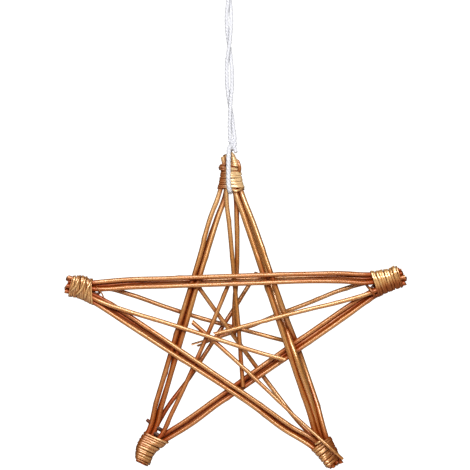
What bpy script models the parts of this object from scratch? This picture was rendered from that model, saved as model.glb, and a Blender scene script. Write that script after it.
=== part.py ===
"""A five-pointed star of willow rods, bound with split willow and hung on a doubled white cord.

Metres, Z up. The star hangs in the XZ plane and its face looks along -Y. The origin is the inside of
the cord's top bend, where the nail or hook bears.
"""

import math

import bmesh
import bpy
import numpy as np

for leftover in list(bpy.data.objects):
    bpy.data.objects.remove(leftover)

# Rods: their thickness at the butt and at the thin end, and the air left between two that touch
STRUT_ROD_DIAMETER = 0.0039
INNER_ROD_DIAMETER = 0.0037
THIN_END_SHARE = 0.88
ROD_GAP = 0.0003
ROUND_RESOLUTION = 2

# Bindings: the split willow's thickness, the depth of the groove between turns, the turns' pitch
SKEIN_THICKNESS = 0.0011
SKEIN_GROOVE = 0.0006
SKEIN_PITCH = 0.0022
BINDING_GAP = 0.0003
BORE_STEP = 0.0048
BINDING_SIDES = 12

# The star's main sizes: how far apart the inner edges of the left and right bindings are, how far
# below the top binding's inner edge the lower right one's is, and where the top one's hangs (x, z)
SPAN_WIDTH = 0.2443
SPAN_HEIGHT = 0.2195
STAR_TOP = (0.0012, -0.1921)

# Each point of the star: the middle of its binding's inner edge, right of and above the top one's in
# shares of the span, the way it points in degrees from +X, and the length of its binding
TOP_PLACE = (0.0, 0.0)
TOP_ANGLE = 90.0
TOP_BINDING = 0.0235
RIGHT_PLACE = (0.5084, -0.3754)
RIGHT_ANGLE = 17.5
RIGHT_BINDING = 0.0245
LOWER_RIGHT_PLACE = (0.3172, -1.0000)
LOWER_RIGHT_ANGLE = 304.7
LOWER_RIGHT_BINDING = 0.0230
LOWER_LEFT_PLACE = (-0.2657, -0.9749)
LOWER_LEFT_ANGLE = 243.4
LOWER_LEFT_BINDING = 0.0270
LEFT_PLACE = (-0.4916, -0.4009)
LEFT_ANGLE = 164.0
LEFT_BINDING = 0.0205

# How far the outermost rods lie from a point's middle line, at the binding's inner and outer edge
TOP_SPREAD = (0.0088, 0.0050)
RIGHT_SPREAD = (0.0090, 0.0056)
LOWER_RIGHT_SPREAD = (0.0066, 0.0043)
LOWER_LEFT_SPREAD = (0.0078, 0.0030)
LEFT_SPREAD = (0.0080, 0.0052)

# How far the lower left binding bows to the left between its ends
LOWER_LEFT_BOW = 0.0040

# How far the left binding's inner edge leans outwards, per unit across it
LEFT_SLANT = 0.35

# A common rod end past its binding, and how far it splays over that length
END_LENGTH = 0.0050
END_FLARE = 0.0010
TOP_END_FLARE = 0.0015

# Spacing of the points along a rod and the sling, and of the places where two rods are compared
ROD_STEP = 0.0265
ROD_END_STEP = 0.0105
BOUND_END_STATIONS = 3
SLING_STEP = 0.0045
COMPARE_STEP = 0.0015
FINE_STEPS = 24

# How hard the star's own plane holds a rod inside a binding and outside it, how hard two rods that
# cross push each other apart, beside a rod's stiffness of 1, and how the settling runs
HELD = 0.3
FREE = 0.02
PUSH = 300.0
SETTLE_ROUNDS = 60
SETTLE_SHARE = 0.6

# The cord, its knot, and the middle of the knot
CORD_DIAMETER = 0.0035
CORD_GAP = 0.0003
KNOT_WIDTH = 0.0074
KNOT_DEPTH = 0.0076
KNOT_HEIGHT = 0.0096
KNOT_PLACE = (0.0026, 0.0, -0.1508)

# The drop-shaped eye at the cord's top: its bend, the turns along it and its narrow end
EYE_RADIUS = 0.0070
EYE_TURNS = (28, 56, 84, 112)
EYE_NECK = ((0.0047, 0.0010, -0.0126), (0.0023, 0.0016, -0.0166))

# The loop's two strands, laid round each other: at each height, the middle of the pair, how many times
# as far apart as when they touch, and the pair's turn in degrees from the right towards the back
PAIR_ROUTE = (
    (-0.0197, -0.0005, 1.05, 90), (-0.0276, -0.0004, 1.05, 60), (-0.0355, -0.0005, 1.10, 25),
    (-0.0434, -0.0005, 1.10, 0), (-0.0522, -0.0005, 1.05, -42), (-0.0592, -0.0004, 1.05, -67),
    (-0.0645, -0.0003, 1.05, -90), (-0.0715, -0.0003, 1.05, -122), (-0.0785, -0.0004, 1.10, -152),
    (-0.0873, -0.0001, 1.28, -180), (-0.0978, 0.0000, 1.25, -200), (-0.1048, 0.0002, 1.15, -220),
    (-0.1118, 0.0003, 1.05, -244), (-0.1188, 0.0007, 1.05, -270), (-0.1259, 0.0013, 1.05, -297),
    (-0.1329, 0.0015, 1.05, -318), (-0.1399, 0.0021, 1.05, -335),
    (KNOT_PLACE[2] + KNOT_HEIGHT / 2 + CORD_GAP, 0.0026, 1.05, -345),
)

# The sling's two legs below the knot: where they leave it, where they hang across the binding, how far
# up the binding they turn in, and how far below it the bend between them lies, shallower at its sides
SLING_START = (0.0012, -0.0026, KNOT_PLACE[2] - KNOT_HEIGHT / 2 - CORD_GAP)
SLING_FINISH = (0.0036, 0.0026, KNOT_PLACE[2] - KNOT_HEIGHT / 2 - CORD_GAP)
SLING_FRONT_X = -0.0003
SLING_BACK_X = 0.0032
SLING_FORK_X = 0.0014
SLING_TURN_SHARE = 0.25
SLING_DROP = 0.0026
SLING_SIDE_DROP = 0.0021

COPPER_PAINT = (0.62, 0.27, 0.07, 1.0)
GOLD_PAINT = (0.78, 0.48, 0.16, 1.0)
COTTON = (0.86, 0.86, 0.90, 1.0)


def in_plan(shares):
    """The plan (x, z) of one or more places given in shares of the span."""
    return np.array(STAR_TOP) + np.array(shares) * (SPAN_WIDTH, SPAN_HEIGHT)


class Point:
    """One point of the star, with its own axes: along runs outwards and across is clockwise of it."""

    def __init__(self, name, place, angle, binding, spread, flare, end_shares, bow=0.0, slant=0.0):
        turn = math.radians(angle)
        self.name = name
        self.place = in_plan(place)
        self.along = np.array((math.cos(turn), math.sin(turn)))
        self.across = np.array((math.sin(turn), -math.cos(turn)))
        self.binding = binding
        self.spread = spread
        self.flare = flare
        self.end_shares = end_shares
        self.bow = bow
        self.slant = slant

    def at(self, along, across):
        return self.place + along * self.along + across * self.across

    def between(self, inset):
        """An offset at the binding's outer edge, from the outermost rod to half a rod off the middle."""
        return self.spread[1] * (1 - inset) + (STRUT_ROD_DIAMETER + ROD_GAP) / 2 * inset

    def seat(self, inner, outer, rank):
        """A rod's plan places from its end to the binding's inner edge, for two offsets across."""
        flare = math.copysign(self.flare * self.end_shares[rank], outer)
        end = self.binding + END_LENGTH * self.end_shares[rank]
        middle = (inner + outer) / 2 + self.bow
        places = (end, outer + flare), (self.binding, outer), (self.binding / 2, middle), (0.0, inner)
        return [self.at(*place) for place in places]


TOP = Point(
    "top", TOP_PLACE, TOP_ANGLE, TOP_BINDING, TOP_SPREAD, TOP_END_FLARE,
    (0.3, 2.1, 1.4, 1.3, 1.9, 1.7, 0.5, 1.2),
)
RIGHT = Point(
    "right", RIGHT_PLACE, RIGHT_ANGLE, RIGHT_BINDING, RIGHT_SPREAD, END_FLARE,
    (1.0, 1.3, 0.8, 0.9, 1.2, 1.1, 1.4, 1.0),
)
LOWER_RIGHT = Point(
    "lower_right", LOWER_RIGHT_PLACE, LOWER_RIGHT_ANGLE, LOWER_RIGHT_BINDING, LOWER_RIGHT_SPREAD, END_FLARE,
    (0.9, 1.1, 0.8, 0.7, 1.1, 0.6, 1.0, 1.0),
)
LOWER_LEFT = Point(
    "lower_left", LOWER_LEFT_PLACE, LOWER_LEFT_ANGLE, LOWER_LEFT_BINDING, LOWER_LEFT_SPREAD, END_FLARE,
    (0.6, 0.8, 0.5, 0.7, 0.5, 0.7, 0.9, 0.6), bow=LOWER_LEFT_BOW,
)
LEFT = Point(
    "left", LEFT_PLACE, LEFT_ANGLE, LEFT_BINDING, LEFT_SPREAD, END_FLARE,
    (0.9, 0.7, 1.2, 1.1, 0.8, 1.0, 0.7, 0.9), slant=LEFT_SLANT,
)
POINTS = (TOP, RIGHT, LOWER_RIGHT, LOWER_LEFT, LEFT)

# Each strut runs from the clockwise side of one point to the other side of the next, set in from the
# sides by so many rod diameters. Between them it passes places in shares of the span, each with half
# the distance between its two front rods, in rod diameters.
STRUTS = {
    "crossbar": (LEFT, RIGHT, 1.41, 1.54, (
        (-0.4122, -0.3708, 0.79), (-0.2399, -0.3626, 0.87), (0.0147, -0.3522, 0.90),
        (0.2767, -0.3431, 0.82), (0.4061, -0.3444, 0.82))),
    "left_leg": (LOWER_LEFT, TOP, 1.08, 1.33, (
        (-0.2550, -0.8387, 0.67), (-0.2190, -0.7011, 0.67), (-0.1699, -0.5166, 0.72),
        (-0.1085, -0.2875, 0.64), (-0.0712, -0.1499, 0.77), (-0.0471, -0.0574, 0.77))),
    "right_leg": (TOP, LOWER_RIGHT, 1.28, 1.64, (
        (0.0622, -0.1089, 0.74), (0.1318, -0.3358, 0.85), (0.1731, -0.4715, 0.87),
        (0.2026, -0.5622, 1.03), (0.2448, -0.6979, 1.13), (0.2984, -0.8802, 1.03))),
    "left_brace": (LOWER_RIGHT, LEFT, 1.23, 1.44, (
        (0.2092, -0.9472, 0.67), (0.0692, -0.8351, 0.64), (-0.0385, -0.7549, 0.64),
        (-0.2542, -0.5964, 0.87), (-0.4343, -0.4647, 0.85))),
    "right_brace": (RIGHT, LOWER_LEFT, 1.28, 1.13, (
        (0.4179, -0.4774, 0.85), (0.3123, -0.5599, 0.87), (0.1703, -0.6688, 0.85),
        (0.0643, -0.7513, 0.77), (-0.0770, -0.8606, 0.62), (-0.1822, -0.9444, 0.67))),
}

# Each inner rod starts in one point, at two offsets across it in rod diameters, and passes these
# places to its free end
INNER_RODS = {
    "inner_top_1": (TOP, -1.11, -0.08, (
        (-0.0123, -0.0579), (-0.0053, -0.1371), (0.0160, -0.4014), (0.0299, -0.5749),
        (0.0434, -0.7831))),
    "inner_top_2": (TOP, 1.11, 0.08, (
        (0.0209, -0.1016), (0.0213, -0.3253), (0.0131, -0.4333), (0.0111, -0.5412),
        (0.0123, -0.5813))),
    "inner_left_1": (LEFT, 1.22, 0.08, (
        (-0.4212, -0.3895), (-0.2902, -0.4405), (-0.1367, -0.4970), (0.0876, -0.5667),
        (0.2067, -0.6018))),
    "inner_left_2": (LEFT, -1.35, -0.08, (
        (-0.4433, -0.4515), (-0.2923, -0.5030), (-0.0180, -0.5995), (0.0667, -0.6305),
        (0.1920, -0.6702))),
    "inner_right_1": (RIGHT, -1.08, -0.08, (
        (0.4707, -0.3595), (0.2857, -0.4424), (0.2026, -0.4774), (0.1367, -0.5107),
        (-0.1412, -0.6205))),
    "inner_right_2": (RIGHT, 1.35, 0.08, (
        (0.4564, -0.4214), (0.3029, -0.4633), (0.1465, -0.5075), (-0.0622, -0.5704))),
    "inner_lower_left_1": (LOWER_LEFT, -0.81, -0.08, (
        (-0.2182, -0.8993), (-0.1568, -0.7554), (-0.0770, -0.5540), (-0.0065, -0.3654))),
    "inner_lower_left_2": (LOWER_LEFT, 0.38, 0.08, (
        (-0.2329, -0.8815), (-0.1621, -0.7663), (-0.0929, -0.6497), (0.0426, -0.4141),
        (0.0937, -0.3248))),
    "inner_lower_right_2": (LOWER_RIGHT, 0.49, 0.08, (
        (0.2481, -0.9289), (0.1834, -0.8387), (0.0708, -0.6706), (-0.0659, -0.4601),
        (-0.1163, -0.3813))),
}

# The rod that is laid over the face of the lower right binding, so it has no seat inside it
LAID_OVER = "inner_lower_right_1"
LAID_OVER_PLACES = (
    (0.4003, -1.0665), (0.3127, -0.9786), (0.2264, -0.8934), (0.1220, -0.7831), (-0.0094, -0.6474),
    (-0.1388, -0.5203),
)

# Front to back, where two rods cross. The right leg comes out of this order where the right brace
# passes between its rods.
FRONT_TO_BACK = (
    "inner_left_2", "inner_right_2", "inner_lower_right_1", "crossbar_outer", "crossbar_inner",
    "left_brace_outer", "left_brace_inner", "inner_top_1", "inner_lower_left_1", "left_leg_outer",
    "left_leg_inner", "right_leg_inner", "right_brace_outer", "right_brace_inner", "left_brace_back",
    "right_brace_back", "right_leg_outer", "crossbar_back", "left_leg_back", "right_leg_back",
    "inner_lower_right_2", "inner_top_2", "inner_left_1", "inner_lower_left_2", "inner_right_1",
)
OUT_OF_ORDER = (("right_leg_back", "right_brace"), ("inner_top_2", "right_leg_back"))


def smooth_route(places, step, close_starts=0, close_finishes=0):
    """Points a step apart on a smooth curve through the places, with so many closer ones at each end."""
    places = np.array(places, float)
    padded = np.vstack([2 * places[0] - places[1], places, 2 * places[-1] - places[-2]])
    fine = [places[0]]
    share = np.linspace(0.0, 1.0, FINE_STEPS + 1)[1:, None]
    for before, start, end, after in zip(padded, padded[1:], padded[2:], padded[3:]):
        gaps = [math.sqrt(np.linalg.norm(b - a)) for a, b in ((before, start), (start, end), (end, after))]
        leave = (start - before) / gaps[0] - (end - before) / (gaps[0] + gaps[1]) + (end - start) / gaps[1]
        arrive = (end - start) / gaps[1] - (after - start) / (gaps[1] + gaps[2]) + (after - end) / gaps[2]
        leave, arrive = leave * gaps[1], arrive * gaps[1]
        cubic = 2 * start - 2 * end + leave + arrive
        square = 3 * end - 3 * start - 2 * leave - arrive
        fine.extend(start + share * leave + share**2 * square + share**3 * cubic)
    fine = np.array(fine)
    run = np.concatenate([[0.0], np.cumsum(np.linalg.norm(np.diff(fine, axis=0), axis=1))])
    start = close_starts * ROD_END_STEP
    finish = run[-1] - close_finishes * ROD_END_STEP
    stops = np.linspace(start, finish, max(2, round((finish - start) / step)) + 1)
    first = np.arange(close_starts) * ROD_END_STEP
    last = finish + np.arange(1, close_finishes + 1) * ROD_END_STEP
    stops = np.concatenate([first, stops, last])
    return np.column_stack([np.interp(stops, run, column) for column in fine.T])


class Rod:
    """A willow rod: its plan (x, z) at each station, its radius there and, once settled, its depth y."""

    def __init__(self, name, places, diameter, bound_ends):
        self.name = name
        close = [BOUND_END_STATIONS if bound else 0 for bound in bound_ends]
        self.plan = smooth_route(places, ROD_STEP, *close)
        self.radius = np.linspace(diameter / 2, diameter / 2 * THIN_END_SHARE, len(self.plan))
        self.depth = np.zeros(len(self.plan))

    def compared(self):
        """(station, share of the way to the next) at places a little apart all along the rod."""
        lengths = np.linalg.norm(np.diff(self.plan, axis=0), axis=1)
        spots = []
        for station, length in enumerate(lengths):
            count = max(2, math.ceil(length / COMPARE_STEP))
            spots.extend(station + np.arange(count) / count)
        spots = np.append(spots, np.nextafter(len(lengths), 0.0))
        return spots.astype(int), spots % 1.0

    def points(self):
        return np.column_stack([self.plan[:, 0], self.depth, self.plan[:, 1]])


def between(values, station, share):
    """Values at places between stations."""
    if values.ndim > 1:
        share = share[:, None]
    return values[station] * (1 - share) + values[station + 1] * share


def strut_rods():
    rods = []
    for name, (start, finish, start_set_in, finish_set_in, passes) in STRUTS.items():
        middle = in_plan([p[:2] for p in passes])
        half_lane = STRUT_ROD_DIAMETER * np.array([p[2] for p in passes])[:, None]
        run = np.gradient(middle, axis=0)
        aside = np.column_stack([-run[:, 1], run[:, 0]]) / np.linalg.norm(run, axis=1)[:, None]
        for rank, (part, lane) in enumerate((("outer", 1.0), ("inner", -1.0), ("back", 0.0))):
            inset = (1.0 - lane) / 2
            rods_in = inset * STRUT_ROD_DIAMETER
            begin = start.spread[0] - rods_in * start_set_in, start.between(inset)
            close = finish.spread[0] - rods_in * finish_set_in, finish.between(inset)
            places = start.seat(begin[0], begin[1], rank)
            places += list(middle + aside * lane * half_lane)
            places += finish.seat(-close[0], -close[1], rank + 3)[::-1]
            rods.append(Rod(f"{name}_{part}", places, STRUT_ROD_DIAMETER, (True, True)))
    return rods


def inner_rods():
    rods = [Rod(LAID_OVER, in_plan(LAID_OVER_PLACES), INNER_ROD_DIAMETER, (True, False))]
    for name, (point, inner, outer, places) in INNER_RODS.items():
        rank = 5 + int(name[-1])
        seat = point.seat(inner * INNER_ROD_DIAMETER, outer * INNER_ROD_DIAMETER, rank)
        route = seat + list(in_plan(places))
        rods.append(Rod(name, route, INNER_ROD_DIAMETER, (True, False)))
    return rods


def in_front(first, second):
    """Whether the first of two rods lies in front where they cross."""
    for rod, strut in OUT_OF_ORDER:
        if first.name == rod and second.name.startswith(strut):
            return True
        if second.name == rod and first.name.startswith(strut):
            return False
    return FRONT_TO_BACK.index(first.name) < FRONT_TO_BACK.index(second.name)


def crossings(rods, first_station):
    """Every place where two rods would touch: the stations either side on the front and the back rod,
    the shares of the way between them, and the depth that the two must keep apart."""
    found = []
    for i, one in enumerate(rods):
        for other in rods[i + 1:]:
            front, back = (one, other) if in_front(one, other) else (other, one)
            front_at, back_at = front.compared(), back.compared()
            apart = between(front.plan, *front_at)[:, None] - between(back.plan, *back_at)[None]
            apart = np.linalg.norm(apart, axis=2)
            reach = between(front.radius, *front_at)[:, None] + between(back.radius, *back_at)[None] + ROD_GAP
            over = np.zeros((len(front_at[0]), 1))
            if front.name == LAID_OVER:
                near = np.linalg.norm(between(front.plan, *front_at) - LOWER_RIGHT.place, axis=1)
                over[near < LOWER_RIGHT.binding + END_LENGTH] = 1.0
            lift = over * (SKEIN_THICKNESS + BINDING_GAP + ROD_GAP)
            a, b = np.nonzero(apart < reach + over * LOWER_RIGHT.spread[0])
            reach = (reach + lift)[a, b]
            apart = apart[a, b] * (1.0 - over[a, 0])
            found.append(np.column_stack([
                front_at[0][a] + first_station[front.name], front_at[1][a],
                back_at[0][b] + first_station[back.name], back_at[1][b],
                np.sqrt(np.maximum(reach**2 - apart**2, 0.0)),
            ]))
    return np.concatenate(found)


def settle(rods):
    """Sets each rod's depth: the rods bend as little as they can while those that cross keep clear,
    and the bindings hold them near the star's own plane."""
    first_station = {}
    count = 0
    for rod in rods:
        first_station[rod.name] = count
        count += len(rod.plan)
    stiffness = np.zeros((count, count))
    for rod in rods:
        at = first_station[rod.name]
        for i in range(1, len(rod.plan) - 1):
            bend = np.array([1.0, -2.0, 1.0])
            stiffness[at + i - 1:at + i + 2, at + i - 1:at + i + 2] += np.outer(bend, bend)
        for i, place in enumerate(rod.plan):
            held = any(np.linalg.norm(place - p.at(p.binding / 2, 0.0)) < p.binding for p in POINTS)
            stiffness[at + i, at + i] += HELD if held else FREE
    front, front_share, back, back_share, need = crossings(rods, first_station).T
    ends = np.column_stack([front, front + 1, back, back + 1]).astype(int)
    pull = np.column_stack([front_share - 1, -front_share, 1 - back_share, back_share])
    depth = np.zeros(count)
    for _ in range(SETTLE_ROUNDS):
        short = need - (depth[ends] * pull).sum(axis=1)
        active = short > 0.0
        push = stiffness.copy()
        load = np.zeros(count)
        for a in range(4):
            np.add.at(load, ends[active, a], PUSH * pull[active, a] * need[active])
            for b in range(4):
                np.add.at(push, (ends[active, a], ends[active, b]), PUSH * pull[active, a] * pull[active, b])
        depth += SETTLE_SHARE * (np.linalg.solve(push, load) - depth)
    for rod in rods:
        at = first_station[rod.name]
        rod.depth = depth[at:at + len(rod.plan)]


def paint(name, colour, roughness, metallic):
    material = bpy.data.materials.new(name)
    material.use_nodes = True
    shader = material.node_tree.nodes["Principled BSDF"]
    shader.inputs["Base Color"].default_value = colour
    shader.inputs["Roughness"].default_value = roughness
    shader.inputs["Metallic"].default_value = metallic
    return material


def round_tube(name, points, radii, material):
    """A round rod or cord through the points, thick as the radii, with flat ends."""
    curve = bpy.data.curves.new(name, "CURVE")
    curve.dimensions = "3D"
    curve.bevel_depth = radii[0]
    curve.bevel_resolution = ROUND_RESOLUTION
    curve.use_fill_caps = True
    spline = curve.splines.new("POLY")
    spline.points.add(len(points) - 1)
    for spot, place, radius in zip(spline.points, points, radii):
        spot.co = (*place, 1.0)
        spot.radius = radius / radii[0]
    tube = bpy.data.objects.new(name, curve)
    curve.materials.append(material)
    bpy.context.scene.collection.objects.link(tube)
    return tube


def bound_rods(point, rods):
    """The rods that end in the point's binding."""
    close = point.binding + 2 * END_LENGTH
    ends = {rod.name: np.linalg.norm(rod.plan[[0, -1]] - point.place, axis=1).min() for rod in rods}
    return [rod for rod in rods if ends[rod.name] < close and rod.name != LAID_OVER]


def rod_sections(point, bundle, along, slant):
    """Where each rod of the bundle crosses a slanting cut: its place across, its depth, its radius."""
    found = []
    for rod in bundle:
        run = (rod.plan - point.place) @ point.along
        aside = (rod.plan - point.place) @ point.across
        near = np.linalg.norm(rod.plan - point.at(point.binding / 2, 0.0), axis=1) < 3 * point.binding
        order = np.argsort(run[near])
        run, aside, depth = run[near][order], aside[near][order], rod.depth[near][order]
        cut = along + slant * np.interp(along, run, aside)
        found.append((np.interp(cut, run, aside), np.interp(cut, run, depth), rod.radius.max()))
    return np.array(found)


def outline(point, bundle, along, margin):
    """The tight outline round the bundle at a distance along the point, a margin outside the rods."""
    slant = point.slant * (1 - along / point.binding)
    turns = np.arange(BINDING_SIDES) * 2 * math.pi / BINDING_SIDES
    normals = np.column_stack([np.cos(turns), np.sin(turns)])
    support = np.full(BINDING_SIDES, -np.inf)
    for nearby in (along - SKEIN_PITCH, along, along + SKEIN_PITCH):
        sections = rod_sections(point, bundle, nearby, slant)
        support = np.maximum(support, (normals @ sections[:, :2].T + sections[:, 2]).max(axis=1))
    support += margin
    after, next_turns = np.roll(support, -1), np.roll(turns, -1)
    bite = math.sin(2 * math.pi / BINDING_SIDES)
    aside = (support * np.sin(next_turns) - after * np.sin(turns)) / bite
    depth = (after * np.cos(turns) - support * np.cos(next_turns)) / bite
    plan = point.at(0.0, 0.0) + (along + slant * aside)[:, None] * point.along + aside[:, None] * point.across
    return np.column_stack([plan[:, 0], depth, plan[:, 1]])


def binding(point, bundle, material):
    """A sleeve of wound turns round the rods, open at both ends."""
    turns = round(point.binding / SKEIN_PITCH)
    rings = []
    for i in range(2 * turns + 1):
        thickness = SKEIN_THICKNESS if i % 2 else SKEIN_THICKNESS - SKEIN_GROOVE
        rings.append(outline(point, bundle, point.binding * i / (2 * turns), BINDING_GAP + thickness))
    bore_rings = round(point.binding / BORE_STEP)
    for i in range(bore_rings, -1, -1):
        rings.append(outline(point, bundle, point.binding * i / bore_rings, BINDING_GAP))
    mesh = bpy.data.meshes.new(f"binding_{point.name}")
    work = bmesh.new()
    loops = [[work.verts.new(place) for place in ring] for ring in rings]
    for ring, following in zip(loops, loops[1:] + loops[:1]):
        for j in range(BINDING_SIDES):
            k = (j + 1) % BINDING_SIDES
            work.faces.new((ring[j], ring[k], following[k], following[j]))
    bmesh.ops.recalc_face_normals(work, faces=work.faces)
    work.to_mesh(mesh)
    work.free()
    mesh.materials.append(material)
    sleeve = bpy.data.objects.new(mesh.name, mesh)
    bpy.context.scene.collection.objects.link(sleeve)
    return sleeve


def eye_side(side):
    """The eye's right side (1) or left side (-1), from near its top to the strands' first crossing."""
    middle = CORD_DIAMETER / 2 - EYE_RADIUS
    places = []
    for turn in EYE_TURNS:
        angle = math.radians(turn)
        places.append((side * EYE_RADIUS * math.sin(angle), 0.0, middle + EYE_RADIUS * math.cos(angle)))
    return places + [(side * x, -side * y, z) for x, y, z in EYE_NECK]


def loop_route():
    """Up one strand from the knot, round the eye and down the other strand."""
    strands = []
    for side in (1, -1):
        places = []
        for height, middle, looseness, degrees in PAIR_ROUTE:
            apart = side * looseness * (CORD_DIAMETER + CORD_GAP) / 2
            turn = math.radians(degrees)
            places.append((middle + apart * math.cos(turn), apart * math.sin(turn), height))
        strands.append(places)
    top = (0.0, 0.0, CORD_DIAMETER / 2)
    return strands[0][::-1] + eye_side(-1)[::-1] + [top] + eye_side(1) + strands[1]


def sling_route(point, bundle):
    """Down the front of the point's binding, through the fork between its rods and up the back."""
    turn_in = SLING_TURN_SHARE * point.binding
    clear = CORD_DIAMETER / 2 + CORD_GAP
    front = []
    back = []
    for along in (0.0, turn_in, point.binding):
        ring = outline(point, bundle, along, BINDING_GAP + SKEIN_THICKNESS)
        front.append(ring[:, 1].min() - clear)
        back.append(ring[:, 1].max() + clear)
    low, high = point.place[1], point.place[1] + point.binding
    return (
        SLING_START,
        (SLING_FRONT_X, front[2], high + 2 * CORD_DIAMETER / 3),
        (SLING_FRONT_X, front[2], high - CORD_DIAMETER),
        (SLING_FRONT_X, front[1], low + turn_in),
        (SLING_FORK_X - SKEIN_THICKNESS, front[0], low + CORD_DIAMETER / 3),
        (SLING_FORK_X, front[0] + CORD_DIAMETER / 2, low - SLING_SIDE_DROP),
        (SLING_FORK_X, (front[0] + back[0]) / 2, low - SLING_DROP),
        (SLING_FORK_X, back[0] - CORD_DIAMETER / 2, low - SLING_SIDE_DROP),
        (SLING_FORK_X + SKEIN_THICKNESS, back[0], low + CORD_DIAMETER / 3),
        (SLING_BACK_X, back[1], low + turn_in),
        (SLING_BACK_X, back[2], high - CORD_DIAMETER),
        (SLING_BACK_X, back[2], high + 2 * CORD_DIAMETER / 3),
        SLING_FINISH,
    )


def knot(material):
    """The overhand knot that closes the cord, as one rounded lump."""
    mesh = bpy.data.meshes.new("cord_knot")
    work = bmesh.new()
    bmesh.ops.create_uvsphere(work, u_segments=12, v_segments=8, radius=0.5)
    bmesh.ops.scale(work, verts=work.verts, vec=(KNOT_WIDTH, KNOT_DEPTH, KNOT_HEIGHT))
    bmesh.ops.translate(work, verts=work.verts, vec=KNOT_PLACE)
    work.to_mesh(mesh)
    work.free()
    mesh.materials.append(material)
    lump = bpy.data.objects.new("cord_knot", mesh)
    bpy.context.scene.collection.objects.link(lump)
    return lump


rods = strut_rods() + inner_rods()
settle(rods)
for rod in rods:
    round_tube(rod.name, rod.points(), rod.radius, paint(rod.name, COPPER_PAINT, 0.42, 0.7))

bundles = {point.name: bound_rods(point, rods) for point in POINTS}
for point in POINTS:
    binding(point, bundles[point.name], paint(f"binding_{point.name}", GOLD_PAINT, 0.40, 0.7))

loop = loop_route()
sling = smooth_route(sling_route(TOP, bundles[TOP.name]), SLING_STEP)
for name, route in (("cord_loop", loop), ("cord_sling", sling)):
    round_tube(name, route, [CORD_DIAMETER / 2] * len(route), paint(name, COTTON, 0.9, 0.0))
knot(paint("cord_knot", COTTON, 0.9, 0.0))
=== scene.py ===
"""The looks of a five-pointed star of gold-painted willow rods on a doubled white cord.

Metres, Z up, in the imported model's own frame. The star hangs in the XZ plane and faces -Y, and the
origin is the inside of the cord's top bend.
"""

import math

import bmesh
import bpy
import numpy as np
from mathutils import Matrix, Vector
from mathutils.bvhtree import BVHTree


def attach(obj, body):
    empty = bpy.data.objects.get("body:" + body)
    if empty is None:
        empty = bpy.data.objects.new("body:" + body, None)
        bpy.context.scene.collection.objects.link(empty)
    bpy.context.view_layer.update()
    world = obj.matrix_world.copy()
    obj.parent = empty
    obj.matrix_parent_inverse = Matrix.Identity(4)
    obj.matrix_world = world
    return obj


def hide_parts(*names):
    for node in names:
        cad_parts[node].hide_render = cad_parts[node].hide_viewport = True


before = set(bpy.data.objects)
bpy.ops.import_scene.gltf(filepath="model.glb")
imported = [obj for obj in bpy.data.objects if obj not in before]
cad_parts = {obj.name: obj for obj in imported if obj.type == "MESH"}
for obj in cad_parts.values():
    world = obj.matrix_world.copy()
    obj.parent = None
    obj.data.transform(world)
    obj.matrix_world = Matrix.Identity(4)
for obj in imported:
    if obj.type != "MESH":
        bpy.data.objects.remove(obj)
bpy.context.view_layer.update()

# The view. The photograph looks at the star's face from straight in front, through a long lens, and
# cuts off the top of the cord.
VIEW_WIDTH = 0.4122
VIEW_MIDDLE = (0.0048, -0.2302)
CAMERA_DISTANCE = 3.2
SENSOR_WIDTH = 36.0

lens_camera = bpy.data.cameras.new("camera")
lens_camera.sensor_width = SENSOR_WIDTH
lens_camera.lens = SENSOR_WIDTH * CAMERA_DISTANCE / VIEW_WIDTH
camera = bpy.data.objects.new("camera", lens_camera)
camera.location = (VIEW_MIDDLE[0], -CAMERA_DISTANCE, VIEW_MIDDLE[1])
camera.rotation_euler = (math.pi / 2, 0.0, 0.0)
bpy.context.scene.collection.objects.link(camera)
bpy.context.scene.camera = camera


# The cord. One length of soft white cotton, laid up from three strands that twist to the left, is
# doubled, twisted on itself and tied above the star, with a bight of it round the star's top point.
CORD_DIAMETER = 0.0035
CORD_GAP = 0.0003
STRAND_RADIUS = 0.00136
STRAND_OFFSET = 0.00045
STRAND_SIDES = 10
LAY_LENGTH = 0.0098
STEPS_PER_TURN = 18
CORD_FLUFF = 0.00007
FLUFF_SIZE = 0.0016
SLING_FULLNESS = 1.16
CURVE_STEPS = 16

KNOT_TOP = -0.1460
EYE_RADIUS = 0.0070
EYE_TURNS = (28, 56, 84, 112)
EYE_NECK = ((0.0047, 0.0010, -0.0126), (0.0023, 0.0016, -0.0166))
# At each height, the middle of the pair, how far apart beside two that touch, and its turn in degrees
PAIR_ROUTE = (
    (-0.0197, -0.0005, 1.05, 90), (-0.0276, -0.0004, 1.05, 60), (-0.0355, -0.0005, 1.10, 25),
    (-0.0434, -0.0005, 1.10, 0), (-0.0522, -0.0005, 1.05, -42), (-0.0592, -0.0004, 1.05, -67),
    (-0.0645, -0.0003, 1.05, -90), (-0.0715, -0.0003, 1.05, -122), (-0.0785, -0.0004, 1.10, -152),
    (-0.0873, -0.0001, 1.28, -180), (-0.0978, 0.0000, 1.25, -200), (-0.1048, 0.0002, 1.15, -220),
    (-0.1118, 0.0003, 1.05, -244), (-0.1188, 0.0007, 1.05, -270), (-0.1259, 0.0013, 1.05, -297),
    (-0.1329, 0.0015, 1.05, -318), (-0.1399, 0.0021, 1.05, -335),
    (KNOT_TOP + CORD_GAP, 0.0026, 1.05, -345),
)
KNOT_MIDDLE = (0.0032, 0.0, -0.1513)
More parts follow.
